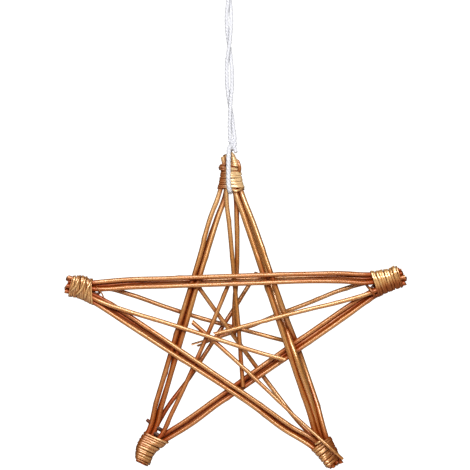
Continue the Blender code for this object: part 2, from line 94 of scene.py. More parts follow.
SLING_ROUTE = (
    KNOT_MIDDLE, (0.0002, -0.0044, -0.1532), (-0.0008, -0.0098, -0.1612), (-0.0009, -0.0103, -0.1721),
    (-0.0008, -0.0096, -0.1846), (-0.0004, -0.0092, -0.1886), (0.0003, -0.0076, -0.1913),
    (0.0006, 0.0018, -0.1920), (0.0008, 0.0108, -0.1918), (0.0010, 0.0125, -0.1896),
    (0.0012, 0.0115, -0.1858), (0.0010, 0.0102, -0.1721), (0.0004, 0.0102, -0.1640),
    (0.0003, 0.0064, -0.1578), (0.0014, 0.0030, -0.1538), KNOT_MIDDLE,
)


def nothing_selected():
    """Leaves edit mode and deselects everything."""
    if bpy.context.object and bpy.context.object.mode != "OBJECT":
        bpy.ops.object.mode_set(mode="OBJECT")
    bpy.ops.object.select_all(action="DESELECT")


def only(piece):
    """Selects one piece alone and makes it the active one."""
    nothing_selected()
    piece.select_set(True)
    bpy.context.view_layer.objects.active = piece
    return piece


def apply_modifiers(piece):
    """Applies every modifier of a piece, in order."""
    only(piece)
    for modifier in list(piece.modifiers):
        bpy.ops.object.modifier_apply(modifier=modifier.name)


def settled(piece):
    """Puts a piece's place and turn into its mesh, so that its object sits at the origin."""
    only(piece)
    bpy.ops.object.transform_apply(location=True, rotation=True, scale=True)
    return piece


def joined(name, pieces):
    """One piece from several."""
    nothing_selected()
    for piece in pieces:
        piece.select_set(True)
    bpy.context.view_layer.objects.active = pieces[0]
    if len(pieces) > 1:
        bpy.ops.object.join()
    pieces[0].name = pieces[0].data.name = name
    return pieces[0]


def coordinates(piece):
    """The places of a piece's points, one row each."""
    places = np.empty(len(piece.data.vertices) * 3)
    piece.data.vertices.foreach_get("co", places)
    return places.reshape(-1, 3)


def set_coordinates(piece, places):
    """Moves a piece's points to new places."""
    piece.data.vertices.foreach_set("co", np.asarray(places, float).ravel())
    piece.data.update()


def keep(piece, name, values):
    """Keeps a number or a place on each of a piece's points, for its material."""
    kind, field = ("FLOAT", "value") if values.ndim == 1 else ("FLOAT_VECTOR", "vector")
    piece.data.attributes.new(name, kind, "POINT").data.foreach_set(field, values.ravel())


def remember_straight(piece, offset=(0.0, 0.0, 0.0)):
    """Keeps the places that the piece's points have while it is still straight, for its grain."""
    keep(piece, "straight", coordinates(piece) + offset)


def route_curve(route, radii=None):
    """A smooth curve through the route's points, and its length."""
    line = bpy.data.curves.new("route", "CURVE")
    line.dimensions = "3D"
    line.resolution_u = CURVE_STEPS
    line.twist_mode = "MINIMUM"
    line.use_radius = True
    spline = line.splines.new("BEZIER")
    spline.bezier_points.add(len(route) - 1)
    for i, (point, place) in enumerate(zip(spline.bezier_points, route)):
        point.co = place
        point.handle_left_type = point.handle_right_type = "AUTO"
        point.radius = radii[i] if radii is not None else 1.0
    bend = bpy.data.objects.new("route", line)
    bpy.context.scene.collection.objects.link(bend)
    bpy.context.view_layer.update()
    return bend, spline.calc_length()


def bent_along(piece, bend):
    """Bends a straight piece, which stands on the origin along Z, along a curve."""
    modifier = piece.modifiers.new("bend", "CURVE")
    modifier.object = bend
    modifier.deform_axis = "POS_Z"
    apply_modifiers(piece)
    bpy.data.objects.remove(bend)
    return piece


def fluffed(piece, amount, size):
    """Soft unevenness all over a piece."""
    cloud = bpy.data.textures.new("unevenness", "CLOUDS")
    cloud.noise_scale = size
    cloud.noise_depth = 1
    modifier = piece.modifiers.new("unevenness", "DISPLACE")
    modifier.texture = cloud
    modifier.texture_coords = "LOCAL"
    modifier.strength = amount
    apply_modifiers(piece)


def faced_outwards(piece):
    """Turns every face of a piece outwards."""
    only(piece)
    bpy.ops.object.mode_set(mode="EDIT")
    bpy.ops.mesh.select_all(action="SELECT")
    bpy.ops.mesh.normals_make_consistent(inside=False)
    bpy.ops.object.mode_set(mode="OBJECT")


def closed_ends(piece):
    """Closes every open end of a piece's tubes."""
    only(piece)
    bpy.ops.object.mode_set(mode="EDIT")
    bpy.ops.mesh.select_all(action="DESELECT")
    bpy.ops.mesh.select_mode(type="EDGE")
    bpy.ops.mesh.select_non_manifold()
    bpy.ops.mesh.fill_holes(sides=0)
    faced_outwards(piece)


def straight_cord(length, scale=1.0):
    """A straight length of the three-strand cord, standing on the origin, with closed ends."""
    strands = []
    for turn in range(3):
        angle = 2 * math.pi * turn / 3
        reach = scale * STRAND_OFFSET
        nothing_selected()
        bpy.ops.mesh.primitive_circle_add(
            vertices=STRAND_SIDES, radius=scale * STRAND_RADIUS,
            location=(reach * math.cos(angle), reach * math.sin(angle), 0.0))
        strands.append(settled(bpy.context.object))
    cord = joined("cord", strands)
    turns = math.ceil(length / (scale * LAY_LENGTH))
    twist = cord.modifiers.new("twist", "SCREW")
    twist.axis = "Z"
    twist.angle = -2 * math.pi
    twist.screw_offset = length / turns
    twist.iterations = turns
    twist.steps = twist.render_steps = STEPS_PER_TURN
    apply_modifiers(cord)
    closed_ends(cord)
    remember_straight(cord)
    return cord


def cord_along(name, route, scale=1.0):
    """A piece of the cord laid along a route, and the route's length."""
    bend, length = route_curve(route)
    cord = bent_along(straight_cord(length, scale), bend)
    cord.name = cord.data.name = name
    fluffed(cord, CORD_FLUFF, FLUFF_SIZE)
    only(cord)
    bpy.ops.object.shade_smooth()
    return cord, length


def pair_strand(side):
    """One strand of the twisted pair, from the eye's neck down to the knot."""
    places = []
    for height, middle, looseness, degrees in PAIR_ROUTE:
        apart = side * looseness * (CORD_DIAMETER + CORD_GAP) / 2
        turn = math.radians(degrees)
        places.append((middle + apart * math.cos(turn), apart * math.sin(turn), height))
    return places


def eye_side(side):
    """The eye's right side (1) or left side (-1), from near its top down to its neck."""
    middle = CORD_DIAMETER / 2 - EYE_RADIUS
    places = []
    for turn in EYE_TURNS:
        angle = math.radians(turn)
        places.append((side * EYE_RADIUS * math.sin(angle), 0.0, middle + EYE_RADIUS * math.cos(angle)))
    return places + [(side * x, -side * y, z) for x, y, z in EYE_NECK]


class Value:
    """What one socket of a node gives. Arithmetic on a number adds Math nodes."""

    def __init__(self, nodes, socket):
        self.nodes = nodes
        self.socket = socket

    def math(self, operation, *numbers):
        return self.nodes.add("ShaderNodeMath", {"operation": operation}, dict(enumerate(numbers)))

    def __add__(self, other):
        return self.math("ADD", self, other)

    def __radd__(self, other):
        return self.math("ADD", other, self)

    def __sub__(self, other):
        return self.math("SUBTRACT", self, other)

    def __rsub__(self, other):
        return self.math("SUBTRACT", other, self)

    def __mul__(self, other):
        return self.math("MULTIPLY", self, other)

    def __rmul__(self, other):
        return self.math("MULTIPLY", other, self)


class Nodes:
    """The nodes of one material, or of the surroundings."""

    def __init__(self, tree):
        self.tree = tree

    def add(self, kind, settings=None, inputs=None, output=0):
        """Adds a node with its settings and the values or links of its sockets."""
        node = self.tree.nodes.new(kind)
        for setting, value in (settings or {}).items():
            setattr(node, setting, value)
        for socket, value in (inputs or {}).items():
            if isinstance(value, Value):
                self.tree.links.new(value.socket, node.inputs[socket])
            else:
                node.inputs[socket].default_value = value
        return Value(self, node.outputs[output])


class Finish(Nodes):
    """A material being made up: a shader with plain settings, and the nodes that lead to it."""

    def __init__(self, name, **settings):
        self.material = bpy.data.materials.new(name)
        self.material.use_nodes = True
        super().__init__(self.material.node_tree)
        self.shader = self.tree.nodes["Principled BSDF"]
        for socket, setting in settings.items():
            self.shader.inputs[socket.replace("_", " ")].default_value = setting

    def kept(self, name, output):
        """What a piece keeps on its points: a place (output 1) or a number (output 2)."""
        return self.add("ShaderNodeAttribute", {"attribute_name": name}, output=output)

    def ramp(self, value, low, high, first=0.0, last=1.0):
        """A number that goes from first to last while the value goes from low to high."""
        return self.add("ShaderNodeMapRange", {}, {0: value, 1: low, 2: high, 3: first, 4: last})

    def mixed(self, factor, first, second):
        """A colour between two others, which a Mix node takes at its sockets 6 and 7."""
        settings = {"data_type": "RGBA"}
        ends = [(*end, 1.0) if isinstance(end, tuple) else end for end in (first, second)]
        return self.add("ShaderNodeMix", settings, {0: factor, 6: ends[0], 7: ends[1]}, 2)

    def grain(self, place, stretch, size, detail=2.0, roughness=0.55):
        """Noise from 0 to 1 on places, drawn out along each axis by its stretch."""
        scale = tuple(1.0 / (size * along) for along in stretch)
        drawn = self.add("ShaderNodeVectorMath", {"operation": "MULTIPLY"}, {0: place, 1: scale})
        inputs = {"Vector": drawn, "Scale": 1.0, "Detail": detail, "Roughness": roughness}
        return self.add("ShaderNodeTexNoise", {"noise_dimensions": "3D"}, inputs)

    def to(self, socket, value):
        """Leads a value to one of the shader's sockets."""
        self.tree.links.new(value.socket, self.shader.inputs[socket])

    def relief(self, height, strength, distance):
        """Fine relief from a height."""
        inputs = {"Height": height, "Strength": strength, "Distance": distance}
        self.to("Normal", self.add("ShaderNodeBump", {}, inputs))


FIBRE_STRETCH = (1.0, 1.0, 2.5)
FIBRE_SIZE = 0.00035
DARKER_FIBRE = (0.73, 0.735, 0.775)
LIGHTER_FIBRE = (0.79, 0.79, 0.83)
# Painted shade: the grey of the cotton down in the grooves between its strands
COTTON_GROOVE_SHADE = (0.71, 0.71, 0.75)
# How far out from the cord's middle the painted shade of its grooves is full, and where it is gone
GROOVE_SHADE_FULL_TO = 0.0014
GROOVE_SHADE_GONE_FROM = 0.0018


def cotton_finish():
    """Bluish white cotton, with painted shade that greys it down between the strands."""
    finish = Finish("white_cotton", Roughness=0.9, Sheen_Weight=0.3, Sheen_Roughness=0.5)
    place = finish.kept("straight", 1)
    inputs = {0: place, 1: (1.0, 1.0, 0.0)}
    flat = finish.add("ShaderNodeVectorMath", {"operation": "MULTIPLY"}, inputs)
    out = finish.add("ShaderNodeVectorMath", {"operation": "LENGTH"}, {0: flat}, 1)
    out_of_groove_shade = finish.ramp(out, GROOVE_SHADE_FULL_TO, GROOVE_SHADE_GONE_FROM)
    fibres = finish.grain(place, FIBRE_STRETCH, FIBRE_SIZE, detail=3.0)
    white = finish.mixed(fibres, DARKER_FIBRE, LIGHTER_FIBRE)
    finish.to("Base Color", finish.mixed(out_of_groove_shade, COTTON_GROOVE_SHADE, white))
    finish.relief(fibres, strength=0.08, distance=0.0003)
    return finish.material


cotton = cotton_finish()
loop_route = [KNOT_MIDDLE] + pair_strand(1)[::-1] + eye_side(-1)[::-1] + [(0.0, 0.0, CORD_DIAMETER / 2)]
loop_route += eye_side(1) + pair_strand(-1) + [KNOT_MIDDLE]
loop_cord, loop_length = cord_along("hanging_cord", loop_route)
sling_cord, sling_length = cord_along("point_sling", SLING_ROUTE, SLING_FULLNESS)


# The knot. Both ends of the cord are tied together in one tight overhand knot, and the two cut ends
# stand out of it, one at its upper left and one at its lower right.
KNOT_HALF_SIZE = (0.0020, 0.0022, 0.0036)
KNOT_POINTS = 36
KNOT_CORD_SCALE = 0.92
CUT_ENDS = (
    ((0.0020, -0.0014, -0.1494), (0.0008, -0.0020, -0.1482), (-0.0008, -0.0018, -0.1468)),
    ((0.0044, -0.0020, -0.1535), (0.0050, -0.0034, -0.1556), (0.0056, -0.0044, -0.1578)),
)


def knot_route():
    """The closed run of an overhand knot, drawn tight."""
    places = []
    for step in range(KNOT_POINTS + 1):
        turn = 2 * math.pi * step / KNOT_POINTS
        x = (math.sin(turn) + 2 * math.sin(2 * turn)) / 3
        z = (math.cos(turn) - 2 * math.cos(2 * turn)) / 3
        y = -math.sin(3 * turn)
        reach = (x, y, z)
        places.append(tuple(m + r * h for m, r, h in zip(KNOT_MIDDLE, reach, KNOT_HALF_SIZE)))
    return places


knot_parts = [cord_along("knot_turns", knot_route(), KNOT_CORD_SCALE)[0]]
for cut_end in CUT_ENDS:
    knot_parts.append(cord_along("cut_end", cut_end, KNOT_CORD_SCALE)[0])
knot = joined("tied_knot", knot_parts)

for piece, node in ((loop_cord, "cord_loop"), (sling_cord, "cord_sling"), (knot, "cord_knot")):
    piece.data.materials.append(cotton)
    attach(piece, "root")
    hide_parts(node)


# The rods. Straight one-year willow rods with their bark on, cut to length and painted. All are cut
# from one long wand, each from another stretch of it and turned another way, then bent into place.
WAND_LENGTH = 0.40
WAND_RADIUS = 0.00195
WAND_SIDES = 18
WAND_RINGS = 220
WAND_UNEVENNESS = 0.00012
UNEVENNESS_SIZE = 0.009
BUD_HEIGHT = 0.00042
BUD_SIZE = 0.0019
BUD_SHAPE = (1.0, 1.0, 0.7)
# Where each bud sits: its height up the wand and the way it faces, in degrees
BUDS = (
    (0.018, 20), (0.047, 165), (0.071, 300), (0.104, 80), (0.131, 215), (0.166, 350), (0.192, 120),
    (0.229, 255), (0.254, 30), (0.287, 160), (0.316, 290), (0.344, 75), (0.371, 200), (0.392, 330),
)
# Points further apart than this along a plain rod are on different rings, and points that are the same
# to this many decimal places are one
RING_GAP = 0.003
DECIMALS = 6
# How far each rod's stretch of the wand, its turn in degrees and its grain are from the last rod's
SLIDE_STEP = 0.0137
TURN_STEP = 137.5
GRAIN_STEP = (0.37, 0.21)
WAND_SPARE = 0.005
CUT_TILT = 0.35
# Edges that turn by more than this, in degrees, stay sharp
CUT_EDGE = 40
# A face with more corners than this is a cut face
MOST_SIDE_CORNERS = 5
TINY = 1e-6


class StarPoint:
    """One point of the star: the middle of its binding's inner edge, its heading and its cut ends."""

    def __init__(self, middle, degrees, cuts):
        turn = math.radians(degrees)
        self.middle = np.array((middle[0], 0.0, middle[1]))
        self.along = np.array((math.cos(turn), 0.0, math.sin(turn)))
        self.across = np.array((math.sin(turn), 0.0, -math.cos(turn)))
        self.cuts = np.array(cuts)

    def trim(self, end):
        """How much comes off a rod that ends there, so that it ends on the line of the shears."""
        away = np.asarray(end) - self.middle
        line = np.interp(away @ self.across, self.cuts[:, 0], self.cuts[:, 1])
        return max(away @ self.along - line, 0.0)


# The line of the shears at each point: how far across it, and how far out from the binding's edge
STAR_POINTS = {
    "top": StarPoint((0.0012, -0.1921), 90.0, (
        (-0.0092, 0.0314), (-0.0060, 0.0326), (-0.0048, 0.0317), (0.0010, 0.0320), (0.0030, 0.0285),
        (0.0050, 0.0260), (0.0070, 0.0235))),
    "right": StarPoint((0.1254, -0.2745), 17.5, (
        (-0.0086, 0.0255), (-0.0048, 0.0284), (-0.0002, 0.0284), (0.0039, 0.0303), (0.0093, 0.0260))),
    "lower_right": StarPoint((0.0787, -0.4116), 304.7, (
        (-0.0088, 0.0226), (-0.0055, 0.0272), (-0.0037, 0.0248), (0.0011, 0.0262), (0.0048, 0.0243),
        (0.0060, 0.0220))),
    "lower_left": StarPoint((-0.0637, -0.4061), 243.4, (
        (-0.0046, 0.0276), (0.0011, 0.0268), (0.0040, 0.0276), (0.0068, 0.0288))),
    "left": StarPoint((-0.1189, -0.2801), 164.0, (
        (-0.0081, 0.0222), (-0.0056, 0.0250), (-0.0018, 0.0273), (0.0008, 0.0277), (0.0047, 0.0264))),
}
STAR_CENTRE = np.array((0.004, 0.0, -0.325))

# The points that a strut's rods start and finish in, and how far the outer rod stands off the others
# just clear of each binding
STRUTS = {
    "crossbar": ("left", "right", 0.0010, 0.0013),
    "left_leg": ("lower_left", "top", 0.0004, 0.0009),
    "right_leg": ("top", "lower_right", 0.0004, 0.0010),
    "left_brace": ("lower_right", "left", 0.0013, 0.0004),
    "right_brace": ("right", "lower_left", 0.0003, 0.0008),
}
# How far from a rod's end it stands off the most, and how soon that fades on either side
SPREAD_AT = 0.034
SPREAD_INSIDE = 0.010
SPREAD_OUTSIDE = 0.030
BACK_SPREAD = 0.5
# How full a rod is beside its plain model, at its start and at its finish
STRUT_FULLNESS = (1.05, 1.12)
INNER_FULLNESS = (1.12, 1.14)
UNUSUAL_FULLNESS = {
    "inner_lower_right_1": (0.66, 1.20), "inner_top_2": (1.36, 1.16), "left_leg_inner": (1.18, 1.23),
    "left_leg_outer": (1.20, 1.15), "right_leg_back": (1.12, 1.45), "right_leg_inner": (1.34, 1.30),
    "right_leg_outer": (1.16, 1.28),
}
# Rods that lie aside of their plain models: how far along, from the finish where negative, then the
# way across and up
ASIDE = {
    "inner_lower_left_2": (
        (0.0, -0.0010, 0.0), (0.022, -0.0036, 0.0006), (0.036, -0.0037, 0.0012), (0.058, -0.0010, 0.0004),
        (0.085, 0.0, 0.0)),
    "inner_right_1": ((0.030, 0.0003, -0.0004), (0.060, 0.0002, -0.0007), (0.095, 0.0, 0.0)),
    "left_leg_back": (
        (0.048, 0.0, 0.0), (0.060, 0.0022, 0.0), (0.101, 0.0022, 0.0), (0.113, 0.0, 0.0),
        (-0.100, 0.0, 0.0), (-0.062, 0.0021, 0.0), (-0.036, 0.0027, 0.0), (-0.022, 0.0008, 0.0)),
}
# One inner rod's free end is split in two, and another's is cut at a slant
SPLIT_LENGTH = 0.015
SPLIT_GAP = 0.0007
SPLIT_SHORTER = 0.0042
SPLIT_SLANT = 0.4
SPLIT_LAP = 0.001
# The split opens evenly out to this many of its lengths
SPLIT_WIDEST = 1.2
SLANTED_CUT = 0.9
SLANTED_SHORTER = 0.0012
# A side twig was cut off short near the lower left point
TWIG_STUB = (-0.0708, -0.0030, -0.3935)
STUB_RADIUS = 0.0015
STUB_LENGTH = 0.0050
STUB_SIDES = 12
STUB_LEAN = -48
STUB_BEVEL = 0.0004
STUB_PAINT = 0.12
# Rods drawn lighter or darker than the others, as shares of the paint at their start and finish: lighter near
# the top point, a painted highlight, and darker toward the lower points and the crossbar's right end
ROD_TONE_SHARES = {
    "inner_lower_left_1": (0.68, 0.88), "inner_lower_left_2": (0.60, 0.86), "inner_left_1": (0.9, 0.9),
    "inner_top_1": (1.26, 0.86), "inner_top_2": (1.20, 0.90), "crossbar_outer": (0.98, 0.60),
    "crossbar_inner": (0.98, 0.60), "left_leg_outer": (0.63, 1.28), "left_leg_inner": (0.63, 1.28),
    "right_leg_outer": (1.25, 0.66), "right_leg_inner": (1.25, 0.66), "right_brace_inner": (0.76, 0.92),
    "right_brace_outer": (0.80, 0.92),
}


def middle_line(node, start):
    """The middle of each ring of a plain rod and its radius there, from the end nearest start."""
    places = np.unique(np.round(coordinates(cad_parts[node]), DECIMALS), axis=0)
    middle = places.mean(axis=0)
    axis = np.linalg.svd(places - middle)[2][0]
    if (np.asarray(start) - middle) @ axis > 0:
        axis = -axis
    run = (places - middle) @ axis
    order = np.argsort(run)
    rings = np.split(places[order], np.nonzero(np.diff(run[order]) > RING_GAP)[0] + 1)
    line = np.array([ring.mean(axis=0) for ring in rings])
    radii = [np.linalg.norm(ring - centre, axis=1).mean() for ring, centre in zip(rings, line)]
    return line, np.array(radii)


def run_along(line):
    """How far along a line each of its points is."""
    steps = np.linalg.norm(np.diff(line, axis=0), axis=1)
    return np.concatenate([[0.0], np.cumsum(steps)])


def spread(line, near_start, near_finish):
    """Moves the middle line of an outer rod off its strut, just clear of the bindings."""
    run = run_along(line)
    way = line[-1] - line[0]
    outward = np.array((way[2], 0.0, -way[0])) / np.linalg.norm(way)
    if (line.mean(axis=0) - STAR_CENTRE) @ outward < 0:
        outward = -outward
    moved = line.copy()
    for amount, away in ((near_start, run), (near_finish, run[-1] - run)):
        past = away - SPREAD_AT
        width = np.where(past < 0, SPREAD_INSIDE, SPREAD_OUTSIDE)
        moved += np.outer(amount * np.exp(-(past / width) ** 2), outward)
    return moved


def laid_aside(line, places):
    """Moves a rod's middle line aside where the real rod runs a little off its plain model."""
    run = run_along(line)
    stops = [place[0] if place[0] >= 0 else run[-1] + place[0] for place in places]
    moved = line.copy()
    moved[:, 0] += np.interp(run, stops, [place[1] for place in places])
    moved[:, 2] += np.interp(run, stops, [place[2] for place in places])
    return moved


def round_bar(sides, radius, length, rings):
    """A straight round bar, standing on the origin, with rings of points all along it."""
    nothing_selected()
    bpy.ops.mesh.primitive_cylinder_add(
        vertices=sides, radius=radius, depth=length, location=(0, 0, length / 2))
    bar = settled(bpy.context.object)
    bpy.ops.object.mode_set(mode="EDIT")
    bpy.ops.mesh.select_all(action="DESELECT")
    work = bmesh.from_edit_mesh(bar.data)
    for edge in work.edges:
        edge.select_set(abs(edge.verts[0].co.z - edge.verts[1].co.z) > length / 2)
    bmesh.update_edit_mesh(bar.data)
    bpy.ops.mesh.subdivide(number_cuts=rings)
    bpy.ops.object.mode_set(mode="OBJECT")
    return bar


def willow_wand():
    """A long straight willow wand with its buds, standing on the origin."""
    wand = round_bar(WAND_SIDES, WAND_RADIUS, WAND_LENGTH, WAND_RINGS)
    fluffed(wand, WAND_UNEVENNESS, UNEVENNESS_SIZE)
    places = coordinates(wand)
    outwards = places * (1.0, 1.0, 0.0)
    outwards /= np.maximum(np.linalg.norm(outwards, axis=1), TINY)[:, None]
    for height, degrees in BUDS:
        facing = (math.cos(math.radians(degrees)), math.sin(math.radians(degrees)))
        spot = np.array((WAND_RADIUS * facing[0], WAND_RADIUS * facing[1], height))
        away = np.linalg.norm((places - spot) * BUD_SHAPE, axis=1)
        places = places + outwards * (BUD_HEIGHT * np.exp(-(away / BUD_SIZE) ** 2))[:, None]
    set_coordinates(wand, places)
    return wand


def sliced(piece, place, normal):
    """Cuts a piece at a plane, takes off what the normal points at and closes the cut."""
    only(piece)
    bpy.ops.object.mode_set(mode="EDIT")
    bpy.ops.mesh.select_all(action="SELECT")
    bpy.ops.mesh.bisect(plane_co=place, plane_no=normal, use_fill=True, clear_outer=True)
    bpy.ops.object.mode_set(mode="OBJECT")


def duplicate(piece):
    """A copy of a piece with its own mesh."""
    copy = piece.copy()
    copy.data = piece.data.copy()
    bpy.context.scene.collection.objects.link(copy)
    return copy


def cut_rod(wand, index, length, trims):
    """A straight length of rod from another stretch of the wand, trimmed at both ends."""
    rod = duplicate(wand)
    slide = index * SLIDE_STEP % (WAND_LENGTH - length - 2 * WAND_SPARE) + WAND_SPARE
    remember_straight(rod, (GRAIN_STEP[0] * index, GRAIN_STEP[1] * index, 0.0))
    turn = Matrix.Rotation(math.radians(index * TURN_STEP), 4, "Z")
    rod.data.transform(turn @ Matrix.Translation((0.0, 0.0, -slide)))
    lean = math.radians(index * TURN_STEP * 2)
    sliced(rod, (0, 0, trims[0]), (CUT_TILT * math.cos(lean), CUT_TILT * math.sin(lean), -1.0))
    sliced(rod, (0, 0, length - trims[1]), (CUT_TILT * math.sin(lean), CUT_TILT * math.cos(lean), 1.0))
    return rod


def split_end(rod, tip, heading):
    """Splits a rod's free end into two halves that stand a little apart, the lower one shorter."""
    downward = np.cross(heading, (0.0, 1.0, 0.0))
    root = tip - SPLIT_LENGTH * heading
    halves = []
    for side, shorter in ((-1, 0.0), (1, SPLIT_SHORTER)):
        half = duplicate(rod)
        sliced(half, root, -heading)
        sliced(half, tip, -side * downward)
        if shorter:
            sliced(half, tip - shorter * heading, heading + SPLIT_SLANT * downward)
        places = coordinates(half)
        past = np.clip((places - root) @ heading / SPLIT_LENGTH, 0, SPLIT_WIDEST)
        set_coordinates(half, places + np.outer(side * SPLIT_GAP * past, downward))
        halves.append(half)
    sliced(rod, root + SPLIT_LAP * heading, heading)
    return joined("rod", [rod] + halves)


def painted_share(piece, start, finish):
    """Keeps a piece's share of the paint, which lightens or darkens its colour, from one end of it to the
    other.
    """
    straight = np.empty(len(piece.data.vertices) * 3)
    piece.data.attributes["straight"].data.foreach_get("vector", straight)
    height = straight[2::3] - straight[2::3].min()
    keep(piece, "paint_and_light_share", start + (finish - start) * height / max(height.max(), TINY))


def twig_stub():
    """The stub that is left of a side twig."""
    nothing_selected()
    bpy.ops.mesh.primitive_cylinder_add(
        vertices=STUB_SIDES, radius=STUB_RADIUS, depth=STUB_LENGTH, location=TWIG_STUB,
        rotation=(0, math.radians(STUB_LEAN), 0))
    stub = settled(bpy.context.object)
    bevel = stub.modifiers.new("worn_and_shade", "BEVEL")
    bevel.width = STUB_BEVEL
    bevel.segments = 2
    apply_modifiers(stub)
    remember_straight(stub)
    painted_share(stub, STUB_PAINT, STUB_PAINT)
    return stub


PORE_SIZE = 0.0009
DARK_WOOD = (0.10, 0.035, 0.012)
PALE_WOOD = (0.42, 0.19, 0.06)


def cut_face_finish():
    """The cut face of a rod: wood that caught some of the paint, darker in its pores."""
    finish = Finish("cut_willow", Metallic=0.3, Roughness=0.6)
    wood = finish.grain(finish.kept("straight", 1), (1.0, 1.0, 1.0), PORE_SIZE, detail=3.0)
    finish.to("Base Color", finish.mixed(wood, DARK_WOOD, PALE_WOOD))
    finish.relief(wood, strength=0.5, distance=0.0003)
    return finish.material


wand = willow_wand()
cut_face = cut_face_finish()

rod_nodes = [f"{strut}_{part}" for strut in STRUTS for part in ("outer", "inner", "back")]
rod_nodes += [f"inner_{point}_{i}" for point in STAR_POINTS for i in (1, 2)]
rods = []
for index, node in enumerate(rod_nodes):
    strut, part = node.rsplit("_", 1)
    if strut in STRUTS:
        first, last, near_start, near_finish = STRUTS[strut]
        fullness = UNUSUAL_FULLNESS.get(node, STRUT_FULLNESS)
    else:
        first, last = strut.removeprefix("inner_"), None
        fullness = UNUSUAL_FULLNESS.get(node, INNER_FULLNESS)
    line, radii = middle_line(node, STAR_POINTS[first].middle)
    if part == "outer":
        line = spread(line, near_start, near_finish)
    if part == "back":
        line = spread(line, BACK_SPREAD * near_start, BACK_SPREAD * near_finish)
    if node in ASIDE:
        line = laid_aside(line, ASIDE[node])
    trims = (STAR_POINTS[first].trim(line[0]), STAR_POINTS[last].trim(line[-1]) if last else 0.0)
    swell = np.linspace(fullness[0], fullness[1], len(radii)) * radii / WAND_RADIUS
    bend, length = route_curve(line, swell)
    rod = bent_along(cut_rod(wand, index, length, trims), bend)
    painted_share(rod, *ROD_TONE_SHARES.get(node, (1.0, 1.0)))
    heading = line[-1] - line[-2]
    heading /= np.linalg.norm(heading)
    if node == "inner_right_1":
        rod = split_end(rod, line[-1], heading)
    if node == "inner_right_2":
        upward = np.cross(heading, (0.0, 1.0, 0.0))
        sliced(rod, line[-1] - SLANTED_SHORTER * heading, heading + SLANTED_CUT * upward)
    if node == "left_leg_outer":
        rod = joined("rod", [rod, twig_stub()])
    rod.name = rod.data.name = f"rod_{node}"
    only(rod)
    bpy.ops.object.shade_smooth_by_angle(angle=math.radians(CUT_EDGE))
    rod.data.materials.append(None)
    rod.data.materials.append(cut_face)
    for face in rod.data.polygons:
        if len(face.vertices) > MOST_SIDE_CORNERS:
            face.material_index = 1
    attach(rod, "root")
    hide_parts(node)
    rods.append(rod)
bpy.data.objects.remove(wand)


# The bindings. Each point's eight rods are held by a long skein, a strip split from a willow rod,
# wound tightly round them by hand, each turn half over the last, with its ends tucked under.

# Every skein starts as an even coil of a wide strip, with room round it
COIL_RADIUS = 0.020
COIL_PITCH = 0.010
COIL_STEPS = 56
SKEIN_SIDES = 10
SKEIN_WIDTH = 0.006
SKEIN_THICKNESS = 0.0006
# How wide a laid skein is beside its turns' pitch, its most, and its length in one turn
SKEIN_OVERLAP = 1.12
SKEIN_WIDEST = 0.0024
TURN_LENGTH = 0.05
SKEIN_EDGE = 50
# How much one edge of each skein stands out over the other, in thicknesses of the skein
SKEIN_TILTS = {"top": -0.5, "right": 0.4, "lower_right": 0.3, "lower_left": 0.3, "left": 0.2}
# Each skein's share of the paint, which lightens or darkens it; the top skein's large share is a painted
# highlight
SKEIN_TONE_SHARES = {"top": 1.4, "right": 1.1, "lower_right": 0.66, "lower_left": 0.72, "left": 1.14}
# A hand-wound skein's uneven width and wandering: how much, and how many radians of a wave in a turn
WIDTH_WAVER = 0.15
WANDER_ALONG = 0.00030
WANDER_OUT = 0.00012
QUICK_SHARE = 0.7
WIDTH_WAVE = 2.9
SLOW_WAVE = 2.33
QUICK_WAVE = 10.1
OUTWARD_WAVE = 9.2
# Over this share of a turn each end sinks under the next turn, by this share of its thickness
TUCK_TURN = 0.5
TUCK_DEPTH = 0.8

# For each point: where each turn of the skein lies out from the binding's inner edge, how much that
# edge slants, and the bulges, each with its place out from the edge and its side in degrees, then its
# height and its reach along and round. Degrees run from one edge of the star through its back
WINDINGS = {
    "top": (
        (0.0024, 0.0044, 0.0061, 0.0078, 0.0095, 0.0112, 0.0129, 0.0158, 0.0172, 0.0193, 0.0210), 0.0,
        ((0.003, 180, 0.0008, 0.003, 50), (0.003, 0, 0.0006, 0.003, 50))),
    "right": (
        (0.0012, 0.0034, 0.0056, 0.0080, 0.0102, 0.0124, 0.0144, 0.0174, 0.0196, 0.0218, 0.0240, 0.0248), 0.0,
        ((0.002, 180, 0.0012, 0.004, 60), (0.012, 190, 0.0009, 0.005, 60), (0.022, 185, 0.0018, 0.004, 60),
         (0.008, 0, -0.0006, 0.008, 50))),
    "lower_right": (
        (0.0012, 0.0030, 0.0052, 0.0073, 0.0094, 0.0116, 0.0138, 0.0157, 0.0174, 0.0191, 0.0208, 0.0215), 0.0,
        ((0.004, 180, 0.0014, 0.005, 60), (0.013, 180, 0.0012, 0.005, 60))),
    "lower_left": (
        (0.0011, 0.0028, 0.0048, 0.0068, 0.0089, 0.0109, 0.0129, 0.0150, 0.0170, 0.0190, 0.0211, 0.0229,
         0.0246, 0.0255), 0.0,
        ((0.019, 0, 0.0008, 0.005, 50), (0.008, 180, 0.0010, 0.008, 50))),
    "left": (
        (0.0011, 0.0028, 0.0047, 0.0066, 0.0085, 0.0104, 0.0123, 0.0141, 0.0157, 0.0173, 0.0189, 0.0204,
         0.0210), 0.35,
        ((0.0125, 5, 0.0026, 0.0055, 45), (0.020, 180, 0.0010, 0.004, 50))),
}
